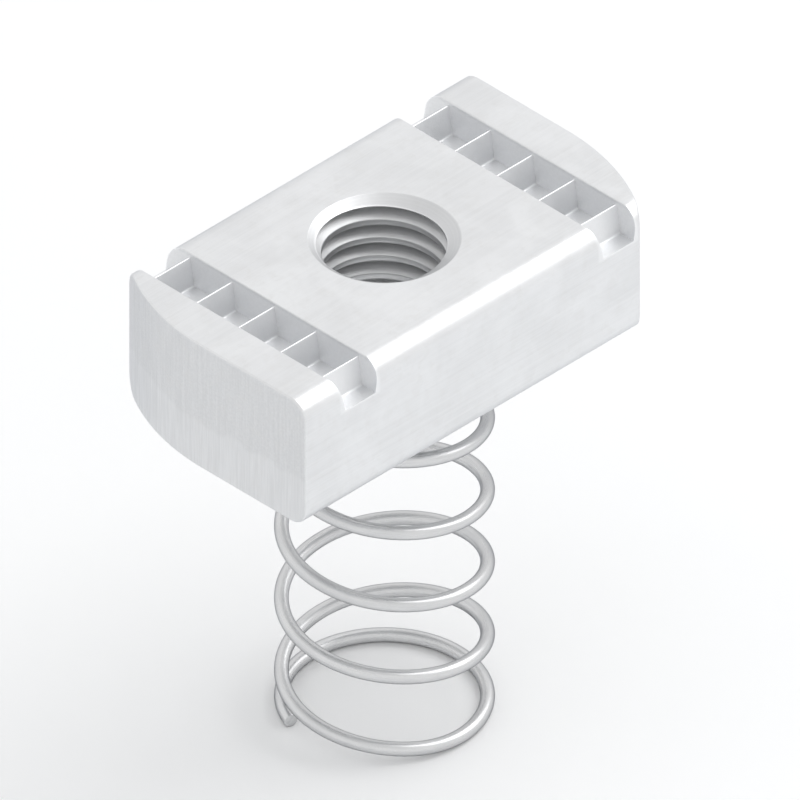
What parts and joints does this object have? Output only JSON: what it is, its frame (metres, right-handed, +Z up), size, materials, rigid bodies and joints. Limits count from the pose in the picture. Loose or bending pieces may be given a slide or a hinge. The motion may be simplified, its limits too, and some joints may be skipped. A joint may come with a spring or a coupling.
{
  "type": "strut spring nut",
  "caption": "Channel nut with a tapped hole, toothed grooves that grip the lips of strut channel, rounded turn-in corners and a coil spring that holds it up in the channel.",
  "frame": {"origin": "on the axis of the threaded hole, at the foot of the spring, where it stands on the channel's back", "axes": "+Z up along the threaded hole, out of the channel; +X along the nut's length, across the channel's lips once it is turned in; +Y across the nut's width, along its lip grooves"},
  "size_m": [0.035, 0.02, 0.0386],
  "materials": {
    "zinc_plated_steel": "bright zinc plating",
    "zinc_plated_spring_wire": "bright zinc plating on drawn wire"
  },
  "bodies": {
    "spring": {"spring": "zinc_plated_spring_wire"},
    "nut": {"nut": "zinc_plated_steel"}
  },
  "joints": [
    {"name": "nut_press", "type": "slide", "parent": "spring", "child": "nut", "axis": [0, 0, 1], "range_m": [-0.012, 0], "stiffness_N_per_m": 800, "springref_m": 0.0006, "deforming": ["spring"]}
  ]
}
